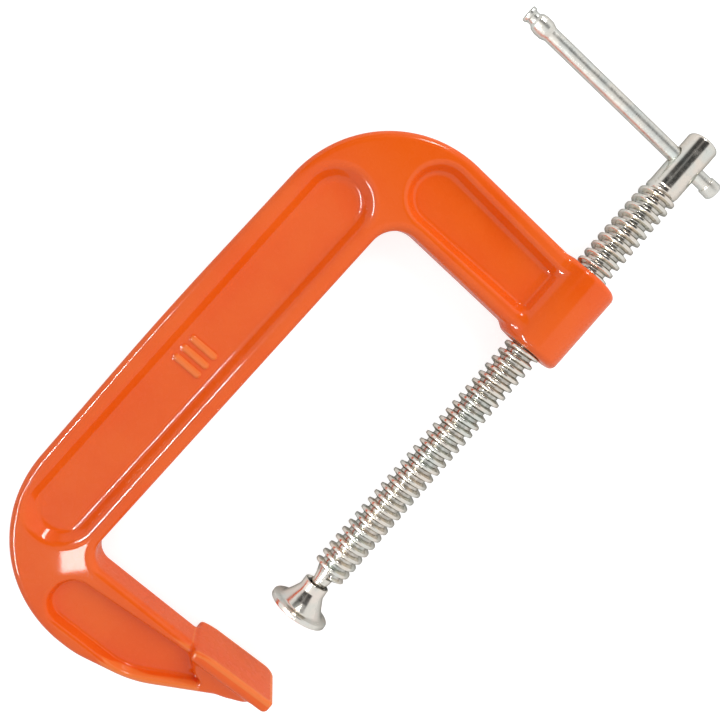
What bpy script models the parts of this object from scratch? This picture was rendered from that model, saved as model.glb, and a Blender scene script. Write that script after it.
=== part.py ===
"""A 150 mm C clamp, lying on its side.

The origin is on the anvil's working face, on the screw's axis.  +Y runs along the screw to the
handle, +X points from the spine to the screw, and +Z is square to the plane of the frame.
All sizes are in metres and all angles in radians.
"""
import math

import bmesh
import bpy
from mathutils import Matrix, Vector

# Frame casting.  Its outline is drawn square and then leans about the anvil, so the throat is
# a little deeper at the anvil than at the boss.
FRAME_LEAN = math.radians(1.7)
FLANGE_HALF_DEPTH = 0.0085
FLANGE_EDGE_ROUND = 0.0022
SPINE_OUTER_X = -0.1141
SPINE_BOW = 0.0020
SPINE_BOW_Y = 0.0850
SPINE_BOW_RADIUS = 1.5
SPINE_INNER_X = -0.0757
TOP_ARM_OUTER_Y = 0.2008
TOP_ARM_INNER_Y = 0.1665
LOW_ARM_INNER_Y = -0.0025
LOW_ARM_OUTER_Y = -0.0342
TOP_CORNER_RADIUS = 0.0475
LOW_CORNER_RADIUS = 0.052
THROAT_TOP_RADIUS = 0.011
THROAT_LOW_RADIUS = 0.008
BELLY_CORNER = (-0.0550, -0.0344, 0.040)
CHIN_CORNER = (-0.0310, -0.0294, 0.050)
NOSE_X = 0.0076
NOSE_Y = -0.0069
WEB_HALF_DEPTH = 0.0040
SPINE_WALL_RUN = 0.0044
UPPER_WALL_RUN = 0.0027
LOWER_WALL_RUN = 0.0016
POCKET_OVERCUT = 0.0010

# Boss that carries the internal thread
BOSS_RADIUS = 0.0133
BOSS_LOW_Y = 0.1650
BOSS_HIGH_Y = 0.2015
BOSS_RIM_ROUND = 0.0025

# Anvil plate, wider than the arm that carries it
ANVIL_LOW_X = -0.0226
ANVIL_HIGH_X = 0.0145
ANVIL_HALF_DEPTH = 0.0135
ANVIL_THICKNESS = 0.0053
ANVIL_BACK_CORNER_RADIUS = 0.0050
ANVIL_FRONT_CORNER_RADIUS = 0.0025
ANVIL_ARM_CORNER_RADIUS = 0.0015
ANVIL_RIM_ROUND = 0.0010
ANVIL_RAMP_X = -0.0182
ANVIL_RAMP_Y = -0.0012
GUSSET_Y = -0.0100
GUSSET_ROOT_X = (-0.0165, 0.0010)
GUSSET_TOP_X = (-0.0200, 0.0072)
GUSSET_INSET = 0.0015
GUSSET_BURY = 0.0004

# Raised foundry bars on the web of the spine
BAR_MARK_X = -0.0953
BAR_MARK_Y = 0.0807
BAR_MARK_LENGTH = 0.0120
BAR_MARK_WIDTH = 0.0022
BAR_MARK_ROUND = 0.00108
BAR_MARK_PITCH = 0.0045
BAR_MARK_HEIGHT = 0.0008
BAR_MARK_COUNT = 3

# Screw
PITCH = 0.00382
CREST_RADIUS = 0.00725
ROOT_RADIUS = 0.00505
FLANK_SHARE = 0.18
CREST_SHARE = 0.32
THREAD_START_Y = 0.0479
THREAD_TURNS = 51
TURN_SEGMENTS = 16
RUN_OUT_TURNS = 0.75
RUN_OUT_RADIUS = 0.0035
END_RING_GAP = 0.0004
KNUCKLE_RADIUS = 0.0063
KNUCKLE_HIGH_Y = 0.2664
KNUCKLE_EDGE = 0.0006
KNUCKLE_DOME = 0.0006
NECK_RADIUS = 0.0031
BALL_RADIUS = 0.0034
BALL_NECK_RADIUS = 0.0025
BALL_Y = 0.0386
BALL_NECK_RISE = 0.0047
NECK_LOW_RISE = 0.0052
NECK_HIGH_RISE = 0.0064
THREAD_CLEARANCE = 0.0003

# Sliding bar
BAR_Y = 0.2560
BAR_RADIUS = 0.00295
BAR_HOLE_RADIUS = 0.00325
BAR_LOW_X = -0.0814
BAR_HIGH_X = 0.0160
BAR_SEGMENTS = 20
# Each head as (radius, distance from its end)
LONG_HEAD = [
    (0.0027, 0.0),
    (0.0031, 0.0004),
    (0.0031, 0.0013),
    (0.0025, 0.0019),
    (0.0025, 0.0035),
    (0.0034, 0.0046),
    (0.0037, 0.0066),
    (0.0036, 0.0092),
    (0.0031, 0.0108),
    (BAR_RADIUS, 0.0112),
]
SHORT_HEAD = [
    (0.0026, 0.0),
    (0.0035, 0.0012),
    (0.0035, 0.0042),
    (0.0034, 0.0047),
    (BAR_RADIUS, 0.0050),
]

# Swivel pad, measured from the ball's centre
PAD_TILT = math.radians(5.5)
PAD_FACE = -0.0079
PAD_MOUTH = 0.0055
PAD_RIM_RADIUS = 0.0123
PAD_RIM_THICKNESS = 0.0021
PAD_RIM_EDGE = 0.0005
PAD_COLLAR_RADIUS = 0.00525
PAD_MOUTH_EDGE = 0.0003
PAD_SEAT_RADIUS = 0.0037
PAD_SEAT_Y = 0.0015
PAD_CAVITY_RADIUS = 0.00465
# The bell's flare outside and the throat's flare inside, as (radius, y)
PAD_FLARE = [(0.0095, -0.0054), (0.0074, -0.0024), (0.0061, 0.0004), (PAD_COLLAR_RADIUS, 0.0022)]
PAD_THROAT = [(0.0046, PAD_MOUTH), (0.0041, 0.0047), (0.00335, 0.0042), (0.00335, 0.0033)]

# Split wire ring that keeps the ball in the pad
RING_OFFSET = 0.0025
RING_RADIUS = 0.0032
RING_WIRE_RADIUS = 0.00035
RING_GAP = math.radians(28)
RING_SEGMENTS = 24
WIRE_SEGMENTS = 8

ROUND_SEGMENTS = 32
ARC_STEP = math.radians(9)
SMOOTH_ANGLE = math.radians(35)


def clear_scene():
    for old in list(bpy.data.objects):
        bpy.data.objects.remove(old, do_unlink=True)


def material(name, colour, roughness, metallic):
    made = bpy.data.materials.new(name)
    made.use_nodes = True
    shader = made.node_tree.nodes["Principled BSDF"]
    shader.inputs["Base Color"].default_value = (*colour, 1.0)
    shader.inputs["Roughness"].default_value = roughness
    shader.inputs["Metallic"].default_value = metallic
    return made


def add_object(name, bm, paint=None):
    bmesh.ops.recalc_face_normals(bm, faces=bm.faces)
    mesh = bpy.data.meshes.new(name)
    bm.to_mesh(mesh)
    bm.free()
    made = bpy.data.objects.new(name, mesh)
    bpy.context.collection.objects.link(made)
    if paint:
        mesh.materials.append(paint)
        mesh.shade_smooth()
        mesh.set_sharp_from_angle(angle=SMOOTH_ANGLE)
    return made


def hide_tool(tool):
    """Keeps a cutter or an added shape out of the finished model."""
    tool.hide_render = True
    tool.display_type = "WIRE"


def combine(target, tool, operation):
    hide_tool(tool)
    step = target.modifiers.new(tool.name, "BOOLEAN")
    step.object = tool
    step.operation = operation
    step.solver = "EXACT"


# Flat outlines ------------------------------------------------------------------------------

def lean(x, y):
    """A point of the square outline, turned about the anvil to where it lies on the clamp."""
    c, s = math.cos(FRAME_LEAN), math.sin(FRAME_LEAN)
    return x * c + y * s, -x * s + y * c


def rounded_outline(corners):
    """Points around a polygon whose corners are (x, y, radius), each one an arc."""
    points = []
    for index, (x, y, radius) in enumerate(corners):
        here = Vector((x, y))
        if radius == 0:
            points.append(here)
            continue
        back = (Vector(corners[index - 1][:2]) - here).normalized()
        ahead = (Vector(corners[(index + 1) % len(corners)][:2]) - here).normalized()
        half = math.acos(max(-1.0, min(1.0, back.dot(ahead)))) / 2
        centre = here + (back + ahead).normalized() * radius / math.sin(half)
        first = here + back * radius / math.tan(half) - centre
        last = here + ahead * radius / math.tan(half) - centre
        turn = first.angle_signed(last)
        steps = max(2, round(abs(turn) / ARC_STEP))
        for step in range(steps + 1):
            points.append(centre + Matrix.Rotation(-turn * step / steps, 2) @ first)
    return points


def inset(corners, distance):
    """The same rounded polygon with every side moved inwards."""
    area = sum(a[0] * b[1] - b[0] * a[1] for a, b in zip(corners, corners[1:] + corners[:1]))
    side = 1 if area > 0 else -1
    moved = []
    for index, (x, y, radius) in enumerate(corners):
        here = Vector((x, y))
        into = (here - Vector(corners[index - 1][:2])).normalized()
        out = (Vector(corners[(index + 1) % len(corners)][:2]) - here).normalized()
        normals = [Vector((-way.y, way.x)) * side for way in (into, out)]
        shift = (normals[0] + normals[1]) * distance / (1 + normals[0].dot(normals[1]))
        convex = (into.x * out.y - into.y * out.x) * side > 0
        new_radius = max(0.0002, radius - distance if convex else radius + distance)
        moved.append((x + shift.x, y + shift.y, new_radius))
    return moved


def loft(rings):
    """A closed solid through equal rings of points, with flat ends."""
    bm = bmesh.new()
    layers = [[bm.verts.new(point) for point in ring] for ring in rings]
    count = len(layers[0])
    for low, high in zip(layers, layers[1:]):
        for i in range(count):
            j = (i + 1) % count
            bm.faces.new((low[i], low[j], high[j], high[i]))
    bm.faces.new(layers[0])
    bm.faces.new(layers[-1])
    return bm


# Frame --------------------------------------------------------------------------------------

def frame_corners():
    return [
        (0.0, TOP_ARM_OUTER_Y, 0),
        (SPINE_OUTER_X + SPINE_BOW, TOP_ARM_OUTER_Y, TOP_CORNER_RADIUS),
        (SPINE_OUTER_X, SPINE_BOW_Y, SPINE_BOW_RADIUS),
        (SPINE_OUTER_X + SPINE_BOW, LOW_ARM_OUTER_Y, LOW_CORNER_RADIUS),
        BELLY_CORNER,
        CHIN_CORNER,
        (NOSE_X, NOSE_Y, 0),
        (NOSE_X, LOW_ARM_INNER_Y, 0),
        (SPINE_INNER_X, LOW_ARM_INNER_Y, THROAT_LOW_RADIUS),
        (SPINE_INNER_X, TOP_ARM_INNER_Y, THROAT_TOP_RADIUS),
        (0.0, TOP_ARM_INNER_Y, 0),
    ]


def pocket_corners():
    """The three pockets that leave an I section: each one's mouth and how far its walls lean in."""
    spine = [
        (-0.1078, 0.1698, 0.0132),
        (-0.0812, 0.1698, 0.0132),
        (-0.0812, -0.0073, 0.0132),
        (-0.1078, -0.0073, 0.0132),
    ]
    upper = [
        (-0.0806, 0.1954, 0.0120),
        (-0.0806, 0.1708, 0.0120),
        (-0.0080, 0.1730, 0.0040),
        (-0.0080, 0.1941, 0.0040),
    ]
    lower = [
        (-0.0775, -0.0101, 0.0092),
        (-0.0775, -0.0286, 0.0092),
        (-0.0365, -0.0286, 0.0250),
        (-0.0090, -0.0132, 0.0022),
        (-0.0220, -0.0059, 0.0060),
    ]
    return {
        "spine": (spine, SPINE_WALL_RUN),
        "upper_arm": (upper, UPPER_WALL_RUN),
        "lower_arm": (lower, LOWER_WALL_RUN),
    }


def flat_ring(points, height):
    return [(*lean(p[0], p[1]), height) for p in points]


def frame_body(paint):
    outline = rounded_outline(frame_corners())
    bm = loft([flat_ring(outline, -FLANGE_HALF_DEPTH), flat_ring(outline, FLANGE_HALF_DEPTH)])
    rims = [edge for edge in bm.edges if abs(edge.verts[0].co.z - edge.verts[1].co.z) < 1e-6]
    bmesh.ops.bevel(
        bm, geom=rims, offset=FLANGE_EDGE_ROUND, segments=2, profile=0.5, affect="EDGES"
    )
    return add_object("frame", bm, paint)


def pocket_tool(name, corners, run, side):
    slope = run / (FLANGE_HALF_DEPTH - WEB_HALF_DEPTH)
    mouth = rounded_outline(inset(corners, -slope * POCKET_OVERCUT))
    floor = rounded_outline(inset(corners, run))
    rings = [
        flat_ring(floor, side * WEB_HALF_DEPTH),
        flat_ring(mouth, side * (FLANGE_HALF_DEPTH + POCKET_OVERCUT)),
    ]
    return add_object(name, loft(rings))


def boss_tool():
    profile = []
    for centre_y, start in (
        (BOSS_LOW_Y + BOSS_RIM_ROUND, -math.pi / 2),
        (BOSS_HIGH_Y - BOSS_RIM_ROUND, 0.0),
    ):
        for step in range(3):
            angle = start + step * math.pi / 4
            radius = BOSS_RADIUS - BOSS_RIM_ROUND + BOSS_RIM_ROUND * math.cos(angle)
            profile.append((radius, centre_y + BOSS_RIM_ROUND * math.sin(angle)))
    return add_object("boss_shape", turned(profile, ROUND_SEGMENTS))


def anvil_tool():
    """The plate, with a ramp up from the arm's inner face."""
    layers = [
        (ANVIL_RIM_ROUND, -ANVIL_THICKNESS, ANVIL_LOW_X),
        (0.0, ANVIL_RIM_ROUND - ANVIL_THICKNESS, ANVIL_LOW_X),
        (0.0, ANVIL_RAMP_Y, ANVIL_LOW_X),
        (0.0, -ANVIL_RIM_ROUND / 2, ANVIL_RAMP_X - ANVIL_RIM_ROUND / 2),
        (ANVIL_RIM_ROUND / 2, 0.0, ANVIL_RAMP_X),
    ]
    rings = []
    for inward, height, low_x in layers:
        corners = [
            (low_x, -ANVIL_HALF_DEPTH, ANVIL_ARM_CORNER_RADIUS),
            (ANVIL_HIGH_X, -ANVIL_HALF_DEPTH, ANVIL_BACK_CORNER_RADIUS),
            (ANVIL_HIGH_X, ANVIL_HALF_DEPTH, ANVIL_FRONT_CORNER_RADIUS),
            (low_x, ANVIL_HALF_DEPTH, ANVIL_ARM_CORNER_RADIUS),
        ]
        outline = rounded_outline(inset(corners, inward) if inward else corners)
        rings.append([(p[0], height, p[1]) for p in outline])
    return add_object("anvil_shape", loft(rings))


def gusset_tool():
    """The sloping cheeks under the anvil, from the plate down to the faces of the arm."""
    rings = []
    for (low_x, high_x), half, y in (
        (GUSSET_ROOT_X, FLANGE_HALF_DEPTH - GUSSET_BURY, GUSSET_Y),
        (GUSSET_TOP_X, ANVIL_HALF_DEPTH - GUSSET_INSET, ANVIL_RIM_ROUND - ANVIL_THICKNESS),
    ):
        rings.append([(low_x, y, -half), (high_x, y, -half), (high_x, y, half), (low_x, y, half)])
    return add_object("gusset_shape", loft(rings))


def mark_tool(index):
    offset = (index - (BAR_MARK_COUNT - 1) / 2) * BAR_MARK_PITCH
    half_x, half_y = BAR_MARK_LENGTH / 2, BAR_MARK_WIDTH / 2
    y = BAR_MARK_Y + offset
    corners = [
        (BAR_MARK_X - half_x, y - half_y, BAR_MARK_ROUND),
        (BAR_MARK_X + half_x, y - half_y, BAR_MARK_ROUND),
        (BAR_MARK_X + half_x, y + half_y, BAR_MARK_ROUND),
        (BAR_MARK_X - half_x, y + half_y, BAR_MARK_ROUND),
    ]
    outline = rounded_outline(corners)
    rings = [
        flat_ring(outline, WEB_HALF_DEPTH - BAR_MARK_HEIGHT),
        flat_ring(outline, WEB_HALF_DEPTH + BAR_MARK_HEIGHT),
    ]
    return add_object(f"mark_shape_{index}", loft(rings))


def build_frame(paint):
    frame = frame_body(paint)
    for name, (corners, run) in pocket_corners().items():
        for side, label in ((1, "front"), (-1, "back")):
            tool = pocket_tool(f"{name}_pocket_{label}", corners, run, side)
            combine(frame, tool, "DIFFERENCE")
    for index in range(BAR_MARK_COUNT):
        combine(frame, mark_tool(index), "UNION")
    for tool in (boss_tool(), gusset_tool(), anvil_tool()):
        combine(frame, tool, "UNION")
    combine(frame, thread_tool(), "DIFFERENCE")
    return frame


# Turned and threaded shapes, about the Y axis ----------------------------------------------

def ring_at(bm, radius, y, segments):
    """A ring of points about Y, counted by the right-hand rule about +Y."""
    angles = [2 * math.pi * i / segments for i in range(segments)]
    return [bm.verts.new((radius * math.sin(a), y, radius * math.cos(a))) for a in angles]


def skin(bm, low, high):
    count = len(low)
    for i in range(count):
        j = (i + 1) % count
        bm.faces.new((low[i], low[j], high[j], high[i]))


def close_end(bm, ring, y):
    tip = bm.verts.new((0.0, y, 0.0))
    for i in range(len(ring)):
        bm.faces.new((ring[i], ring[(i + 1) % len(ring)], tip))


def turned(profile, segments):
    """A solid turned about Y from (radius, y) points, from one end of the axis to the other."""
    bm = bmesh.new()
    rings = [ring_at(bm, radius, y, segments) for radius, y in profile]
    for low, high in zip(rings, rings[1:]):
        skin(bm, low, high)
    close_end(bm, rings[0], profile[0][1])
    close_end(bm, rings[-1], profile[-1][1])
    return bm


def thread_section(clearance):
    """(distance along the axis, radius) of the four corners of one thread."""
    flank, crest = FLANK_SHARE * PITCH, CREST_SHARE * PITCH
    return [
        (-clearance, ROOT_RADIUS + clearance),
        (flank - clearance, CREST_RADIUS + clearance),
        (flank + crest + clearance, CREST_RADIUS + clearance),
        (2 * flank + crest + clearance, ROOT_RADIUS + clearance),
    ]


def threaded_rod(bm, start_y, turns, clearance, low_radius, high_radius):
    """The skin of a right-hand thread about Y.  It fades into a plain ring at each end, and the
    two rings are returned."""
    segments = TURN_SEGMENTS
    last = turns * segments
    section = thread_section(clearance)

    def corner(step, index):
        along, radius = section[index]
        turn = min(step / segments, turns)
        low_fade = min(1.0, (turn + along / PITCH) / RUN_OUT_TURNS)
        high_fade = min(1.0, (turns - turn) / RUN_OUT_TURNS)
        radius = low_radius + (radius - low_radius) * max(0.0, low_fade)
        radius = high_radius + (radius - high_radius) * max(0.0, high_fade)
        if step == 0:
            radius = low_radius
        if step >= last:
            radius = high_radius
        angle = 2 * math.pi * step / segments
        y = start_y + PITCH * step / segments + along
        return bm.verts.new((radius * math.sin(angle), y, radius * math.cos(angle)))

    base = [corner(step, 0) for step in range(last + segments + 1)]
    others = [[corner(step, k) for k in (1, 2, 3)] for step in range(last + 1)]

    def column(step):
        return [base[step], *others[step], base[step + segments]]

    for step in range(last):
        near, far = column(step), column(step + 1)
        for k in range(4):
            bm.faces.new((near[k], far[k], far[k + 1], near[k + 1]))

    low_ring = ring_at(bm, low_radius, start_y - END_RING_GAP, segments)
    for i in range(segments - 1):
        bm.faces.new((low_ring[i], low_ring[i + 1], base[i + 1], base[i]))
    bm.faces.new((low_ring[-1], low_ring[0], *column(0), base[segments - 1]))

    high_ring = ring_at(bm, high_radius, start_y + PITCH * (turns + 1) + END_RING_GAP, segments)
    top = base[last:]
    for i in range(1, segments):
        bm.faces.new((top[i], top[i + 1], high_ring[(i + 1) % segments], high_ring[i]))
    end = column(last)
    bm.faces.new((top[0], top[1], high_ring[1], high_ring[0], *reversed(end[1:])))
    return low_ring, high_ring


def thread_tool():
    """The tapped hole of the boss: the screw's own thread, in step with it and a little larger."""
    first_turn = math.floor((BOSS_LOW_Y - THREAD_START_Y) / PITCH) - 2
    turns = math.ceil((BOSS_HIGH_Y - BOSS_LOW_Y) / PITCH) + 3
    bm = bmesh.new()
    radius = CREST_RADIUS + THREAD_CLEARANCE
    start_y = THREAD_START_Y + first_turn * PITCH
    low, high = threaded_rod(bm, start_y, turns, THREAD_CLEARANCE, radius, radius)
    close_end(bm, low, start_y - END_RING_GAP)
    close_end(bm, high, start_y + PITCH * (turns + 1) + END_RING_GAP)
    return add_object("tapped_hole", bm)


def build_screw(paint):
    bm = bmesh.new()
    low, high = threaded_rod(
        bm, THREAD_START_Y, THREAD_TURNS, 0.0, RUN_OUT_RADIUS, KNUCKLE_RADIUS
    )
    ball_angles = [math.radians(a) for a in (-65, -40, -15, 10, 30)]
    lower = [
        (BALL_RADIUS * math.cos(a), BALL_Y + BALL_RADIUS * math.sin(a)) for a in ball_angles
    ]
    shoulder = math.sqrt(BALL_RADIUS**2 - BALL_NECK_RADIUS**2)
    lower += [
        (BALL_NECK_RADIUS, BALL_Y + shoulder),
        (BALL_NECK_RADIUS, BALL_Y + BALL_NECK_RISE),
        (NECK_RADIUS, BALL_Y + NECK_LOW_RISE),
        (NECK_RADIUS, BALL_Y + NECK_HIGH_RISE),
    ]
    rings = [ring_at(bm, radius, y, TURN_SEGMENTS) for radius, y in lower]
    for ring, above in zip(rings, rings[1:] + [low]):
        skin(bm, ring, above)
    close_end(bm, rings[0], BALL_Y - BALL_RADIUS)

    upper = [
        (KNUCKLE_RADIUS, KNUCKLE_HIGH_Y - KNUCKLE_EDGE),
        (KNUCKLE_RADIUS - KNUCKLE_EDGE, KNUCKLE_HIGH_Y),
        (KNUCKLE_RADIUS * 0.55, KNUCKLE_HIGH_Y + KNUCKLE_DOME * 0.7),
    ]
    rings = [ring_at(bm, radius, y, TURN_SEGMENTS) for radius, y in upper]
    for below, ring in zip([high] + rings, rings):
        skin(bm, below, ring)
    close_end(bm, rings[-1], KNUCKLE_HIGH_Y + KNUCKLE_DOME)
    screw = add_object("screw", bm, paint)

    reach = 1.5 * KNUCKLE_RADIUS
    hole = turned([(BAR_HOLE_RADIUS, -reach), (BAR_HOLE_RADIUS, reach)], BAR_SEGMENTS)
    bmesh.ops.transform(hole, matrix=along_x(BAR_Y), verts=hole.verts)
    combine(screw, add_object("bar_hole", hole), "DIFFERENCE")
    return screw


def along_x(y):
    """Lays a solid turned about Y along X instead, at height y on the screw's axis."""
    return Matrix.Translation((0.0, y, 0.0)) @ Matrix.Rotation(-math.pi / 2, 4, "Z")


def build_bar(paint):
    """One rod with a formed head at each end: a waisted head on the long side, a plain one on
    the short side."""
    profile = [(radius, BAR_LOW_X + distance) for radius, distance in LONG_HEAD]
    profile += [(radius, BAR_HIGH_X - distance) for radius, distance in reversed(SHORT_HEAD)]
    bm = turned(profile, BAR_SEGMENTS)
    bmesh.ops.transform(bm, matrix=along_x(BAR_Y), verts=bm.verts)
    return add_object("tommy_bar", bm, paint)


def build_pad(paint):
    """Bell-shaped pad, tipped on the ball.  Its socket has a seat, a wider pocket for the wire
    ring, a lip above the ring and a flared mouth."""
    rim_top = PAD_FACE + PAD_RIM_THICKNESS
    outside = [
        (PAD_RIM_RADIUS - PAD_RIM_EDGE, PAD_FACE),
        (PAD_RIM_RADIUS, PAD_FACE + PAD_RIM_EDGE),
        (PAD_RIM_RADIUS, rim_top - PAD_RIM_EDGE),
        (PAD_RIM_RADIUS - PAD_RIM_EDGE, rim_top),
        *PAD_FLARE,
        (PAD_COLLAR_RADIUS, PAD_MOUTH - PAD_MOUTH_EDGE),
        (PAD_COLLAR_RADIUS - PAD_MOUTH_EDGE, PAD_MOUTH),
    ]
    inside = [*PAD_THROAT]
    for degrees in (42, 33, 22):
        a = math.radians(degrees)
        inside.append((PAD_CAVITY_RADIUS * math.cos(a), PAD_CAVITY_RADIUS * math.sin(a)))
    inside.append((PAD_SEAT_RADIUS, PAD_SEAT_Y))
    for degrees in (0, -25, -50, -72):
        a = math.radians(degrees)
        inside.append((PAD_SEAT_RADIUS * math.cos(a), PAD_SEAT_RADIUS * math.sin(a)))
    bm = bmesh.new()
    rings = [ring_at(bm, radius, y, ROUND_SEGMENTS) for radius, y in outside + inside]
    for near, far in zip(rings, rings[1:]):
        skin(bm, near, far)
    bm.faces.new(rings[0])
    close_end(bm, rings[-1], -PAD_SEAT_RADIUS)
    pad = add_object("swivel_pad", bm, paint)
    pad.location = (0.0, BALL_Y, 0.0)
    pad.rotation_euler = (0.0, 0.0, PAD_TILT)
    return pad


def build_ring(paint):
    """An open ring of round wire, its gap on the far side from the spine."""
    rings = []
    for step in range(RING_SEGMENTS + 1):
        sweep = (2 * math.pi - RING_GAP) * step / RING_SEGMENTS
        turn = math.pi / 2 + RING_GAP / 2 + sweep
        out = Vector((math.sin(turn), 0.0, math.cos(turn)))
        section = []
        for k in range(WIRE_SEGMENTS):
            a = 2 * math.pi * k / WIRE_SEGMENTS
            reach = RING_RADIUS + RING_WIRE_RADIUS * math.cos(a)
            height = RING_OFFSET + RING_WIRE_RADIUS * math.sin(a)
            section.append(out * reach + Vector((0.0, height, 0.0)))
        rings.append(section)
    ring = add_object("retaining_ring", loft(rings), paint)
    ring.location = (0.0, BALL_Y, 0.0)
    return ring


def main():
    clear_scene()
    enamel = material("orange_enamel", (0.86, 0.13, 0.022), 0.28, 0.0)
    plate = material("zinc_plate", (0.70, 0.69, 0.66), 0.25, 1.0)
    bare = material("spring_wire", (0.22, 0.22, 0.23), 0.40, 1.0)
    build_frame(enamel)
    build_screw(plate)
    build_bar(plate)
    build_pad(plate)
    build_ring(bare)


main()
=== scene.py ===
import math

import bmesh
import bpy
import numpy as np
from mathutils import Matrix, Vector


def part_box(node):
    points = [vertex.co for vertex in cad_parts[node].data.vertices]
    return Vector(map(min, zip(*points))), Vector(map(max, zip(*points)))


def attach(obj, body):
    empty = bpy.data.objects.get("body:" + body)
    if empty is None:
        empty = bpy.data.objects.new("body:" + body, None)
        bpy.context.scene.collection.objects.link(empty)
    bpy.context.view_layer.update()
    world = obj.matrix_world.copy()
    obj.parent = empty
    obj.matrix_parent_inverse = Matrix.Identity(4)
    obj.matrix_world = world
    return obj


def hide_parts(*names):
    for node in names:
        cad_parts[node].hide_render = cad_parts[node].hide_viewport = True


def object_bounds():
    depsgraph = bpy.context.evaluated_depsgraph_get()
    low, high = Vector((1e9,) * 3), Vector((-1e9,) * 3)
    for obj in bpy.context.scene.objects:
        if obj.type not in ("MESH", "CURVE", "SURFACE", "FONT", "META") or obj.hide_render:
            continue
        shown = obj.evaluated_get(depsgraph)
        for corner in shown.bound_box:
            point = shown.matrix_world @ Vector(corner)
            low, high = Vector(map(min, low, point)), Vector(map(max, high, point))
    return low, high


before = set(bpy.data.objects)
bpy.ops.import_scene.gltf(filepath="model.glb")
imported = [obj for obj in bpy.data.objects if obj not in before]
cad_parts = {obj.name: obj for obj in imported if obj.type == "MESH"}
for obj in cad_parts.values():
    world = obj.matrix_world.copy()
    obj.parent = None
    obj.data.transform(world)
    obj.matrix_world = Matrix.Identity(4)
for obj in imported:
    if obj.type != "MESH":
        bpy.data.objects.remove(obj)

# The clamp lies on its side.  The origin is on the anvil's face, on the screw's axis; +Y runs
# along the screw to the handle, +X from the spine to the screw, +Z up.  Sizes are in metres.
CAD_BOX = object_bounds()
MM = 0.001

# Casting
FRAME_LEAN = math.radians(1.7)
FLANGE_HALF_DEPTH = 8.5 * MM
WEB_HALF_DEPTH = 4.0 * MM
FLANGE_EDGE_ROUND = 3.0 * MM
SPINE_WALL_RUN = 4.4 * MM
UPPER_WALL_RUN = 2.7 * MM
LOWER_WALL_RUN = 1.6 * MM
POCKET_RIM_ROUND = 1.1 * MM
POCKET_FLOOR_ROUND = 0.9 * MM
BOSS_RADIUS = 13.3 * MM
BOSS_LOW_Y = 165.0 * MM
BOSS_HIGH_Y = 201.5 * MM
BOSS_MIDDLE_Y = (BOSS_LOW_Y + BOSS_HIGH_Y) / 2
BOSS_HALF_LENGTH = (BOSS_HIGH_Y - BOSS_LOW_Y) / 2
BOSS_RIM_ROUND = 2.6 * MM
BOSS_BLEND = 2.2 * MM
ANVIL_LOW_X = -22.6 * MM
ANVIL_HIGH_X = 14.5 * MM
ANVIL_HALF_DEPTH = 13.5 * MM
ANVIL_THICKNESS = 5.3 * MM
ANVIL_TIP_RADIUS = 5.0 * MM
ANVIL_FRONT_TIP_RADIUS = 2.5 * MM
ANVIL_ARM_RADIUS = 1.5 * MM
ANVIL_RIM_ROUND = 1.1 * MM
ANVIL_UNDER_ROUND = 2.0 * MM
ANVIL_RAMP_X = -18.4 * MM
ANVIL_RAMP_SLOPE = 0.26
ANVIL_BLEND = 3.0 * MM
PLATE_BLEND = 1.6 * MM
CAST_CELL = 0.55 * MM
CAST_MARGIN = 1.6 * MM
RELIEF_REACH = 2.2 * MM

# The cheeks under the anvil's plate, which widen as they rise to it
CHEEK_FOOT_Y = -10.0 * MM
CHEEK_RISE = 5.7 * MM
CHEEK_HALF_DEPTH = 8.1 * MM
CHEEK_DEPTH_GROWTH = 3.6 * MM
CHEEK_LOW_X = -16.5 * MM
CHEEK_LOW_GROWTH = 3.5 * MM
CHEEK_HIGH_X = 5.2 * MM
CHEEK_HIGH_GROWTH = 2.4 * MM
CHEEK_EDGE_ROUND = 1.2 * MM
CHEEK_MIDDLE_Y = -7.0 * MM
CHEEK_HALF_HEIGHT = 3.4 * MM

# The underside of the lower arm's nose, which the anvil's cheeks end at
NOSE_LINE = math.radians(30.2) - FRAME_LEAN
NOSE_END_X = 7.4 * MM
NOSE_END_Y = -7.1 * MM
NOSE_ROUND = 0.8 * MM

# Raised foundry bars on the web of the spine
MARK_PLACE = np.array([-95.3, 80.7]) * MM
MARK_PITCH = 4.5 * MM
MARK_HALF_LENGTH = 4.9 * MM
MARK_RADIUS = 1.1 * MM
MARK_HEIGHT = 0.8 * MM
MARK_ROUND = 0.45 * MM
MARK_BLEND = 0.4 * MM

# Tapped hole
THREAD_CLEARANCE = 0.3 * MM
COUNTERSINK_DEPTH = 0.9 * MM
HOLE_OVERRUN = 2.0 * MM
HOLE_MOUTH_ROUND = 0.3 * MM

# What a slanted wall's measure is multiplied by, so that it is close to a distance
CHEEK_SLANT = 0.85
THREAD_SLANT = 0.6
COUNTERSINK_SLANT = 0.7

# Thread and screw
PITCH = 3.82 * MM
CREST_RADIUS = 7.25 * MM
ROOT_RADIUS = 5.05 * MM
FLANK_SHARE = 0.18
CREST_SHARE = 0.32
THREAD_START_Y = 47.9 * MM
THREAD_TURNS = 51
THREAD_END_GAP = 0.3 * MM
TURN_SEGMENTS = 72
RUN_OUT_TURNS = 0.75
RUN_OUT_RADIUS = 3.5 * MM
ROD_INSET = 0.25 * MM
ROD_END_RISE = 0.5 * MM
HEAD_RADIUS = 6.3 * MM
HEAD_LOW_Y = 243.6 * MM
HEAD_HIGH_Y = 267.0 * MM
HEAD_TOP_ROUND = 1.1 * MM
HEAD_FOOT_ROUND = 0.5 * MM
HEAD_DOME_RADIUS = 33.4 * MM
HEAD_CELL = 0.3 * MM
HEAD_GRID_LOW = np.array([-8.0, 241.0, -8.0]) * MM
HEAD_GRID_HIGH = np.array([8.0, 270.0, 8.0]) * MM
BAR_HOLE_RADIUS = 3.25 * MM
HOLE_RIM_ROUND = 0.35 * MM
BALL_Y = 38.6 * MM
BALL_RADIUS = 3.4 * MM

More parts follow.
